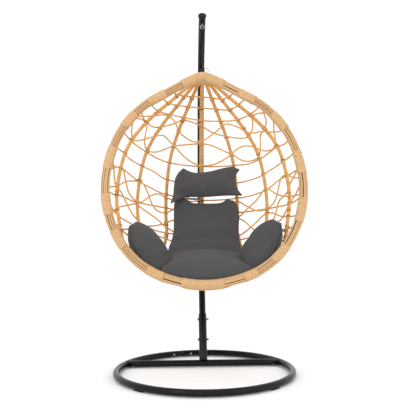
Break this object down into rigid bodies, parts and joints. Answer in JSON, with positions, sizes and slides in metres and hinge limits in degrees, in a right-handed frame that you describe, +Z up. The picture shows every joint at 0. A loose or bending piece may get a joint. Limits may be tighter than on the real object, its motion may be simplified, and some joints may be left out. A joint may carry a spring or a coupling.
{
  "type": "hanging egg chair",
  "caption": "Hanging egg chair: open wicker basket with seat, arm and head cushions, hung by a spring and chain from a C-shaped tube stand on a ring base.",
  "frame": {"origin": "on the floor under the centre of the base ring, straight below the hang point", "axes": "+Z up; the open front of the basket faces -Y and the post stands at +Y; +X is to the right as seen from the front"},
  "size_m": [1.0576, 0.985, 1.9535],
  "materials": {
    "powder_coat": "satin black powder coat",
    "zinc_plate": "zinc plated",
    "black_plastic": "moulded black plastic",
    "black_steel": "black coated steel wire",
    "frame_steel": "primed steel, hidden",
    "rim_cane": "cane strands bound with flat cane",
    "rib_cane": "steel tube bound with flat cane",
    "weave_cane": "satin round cane",
    "cushion_cloth": "dark grey woven cloth",
    "tie_cord": "black cord"
  },
  "bodies": {
    "stand": {"base_ring": "powder_coat", "crossbar": "powder_coat", "post_socket": "powder_coat", "lower_post": "powder_coat", "upper_post": "powder_coat", "ring_joint_screw_left": "zinc_plate", "ring_joint_screw_right": "zinc_plate", "crossbar_screw_left": "zinc_plate", "crossbar_screw_right": "zinc_plate", "socket_bolt_lower": "zinc_plate", "socket_nut_lower": "zinc_plate", "socket_bolt_upper": "zinc_plate", "socket_nut_upper": "zinc_plate", "post_joint_screw": "zinc_plate", "eye_bolt": "zinc_plate", "eye_bolt_nut": "zinc_plate", "floor_pad_front_left": "black_plastic", "floor_pad_front_right": "black_plastic", "floor_pad_rear_left": "black_plastic", "floor_pad_rear_right": "black_plastic", "arm_end_cap": "black_plastic", "ring_joiner": "frame_steel", "crossbar_stub_left": "frame_steel", "crossbar_stub_right": "frame_steel"},
    "spring_upper": {"spring_bar_upper": "black_steel", "spring_coil": "black_steel"},
    "spring_lower": {"spring_bar_lower": "black_steel"},
    "chain": {"chain_link_1": "black_steel", "chain_link_2": "black_steel", "chain_link_3": "black_steel", "chain_link_4": "black_steel", "chain_link_5": "black_steel"},
    "snap_hook": {"snap_hook": "black_steel", "cable_tie": "black_plastic"},
    "gate": {"snap_hook_gate": "black_steel"},
    "basket": {"basket_eye": "black_steel", "rim_rod": "frame_steel", "rim_wrap_left": "rim_cane", "rim_wrap_right": "rim_cane", "top_hub": "rim_cane", "rib_centre": "rib_cane", "rib_left_1": "rib_cane", "rib_left_2": "rib_cane", "rib_left_3": "rib_cane", "rib_right_1": "rib_cane", "rib_right_2": "rib_cane", "rib_right_3": "rib_cane", "weave_cane_1": "weave_cane", "weave_cane_2": "weave_cane", "weave_cane_3": "weave_cane", "weave_cane_4": "weave_cane", "weave_cane_5": "weave_cane", "weave_cane_6": "weave_cane", "weave_cane_7": "weave_cane", "seat_back_cushion": "cushion_cloth", "arm_cushion_left": "cushion_cloth", "arm_cushion_right": "cushion_cloth", "head_pillow": "cushion_cloth", "pillow_tie": "tie_cord"}
  },
  "joints": [
    {"name": "fore_aft_swing", "type": "hinge", "parent": "stand", "child": "spring_upper", "pos_m": [0, 0, 1.8699], "axis": [-1, 0, 0], "range_deg": [-2.5, 22]},
    {"name": "spring_stretch", "type": "slide", "parent": "spring_upper", "child": "spring_lower", "axis": [0, 0, -1], "range_m": [0, 0.025], "stiffness_N_per_m": 40000, "springref_m": -0.00487, "deforming": ["spring_coil"]},
    {"name": "side_swing", "type": "hinge", "parent": "spring_lower", "child": "chain", "pos_m": [0, 0, 1.7878], "axis": [0, 1, 0], "range_deg": [-15, 15]},
    {"name": "basket_twist", "type": "hinge", "parent": "chain", "child": "snap_hook", "pos_m": [0, 0, 1.6558], "axis": [0, 0, 1], "range_deg": [-20, 20]},
    {"name": "basket_rock", "type": "hinge", "parent": "snap_hook", "child": "basket", "pos_m": [0, 0, 1.6098], "axis": [-1, 0, 0], "range_deg": [-1.5, 6]},
    {"name": "gate_pivot", "type": "hinge", "parent": "snap_hook", "child": "gate", "pos_m": [0.01, 0, 1.6212], "axis": [0, -1, 0], "range_deg": [0, 25], "stiffness_Nm_per_rad": 0.02, "springref_deg": -17.19}
  ]
}
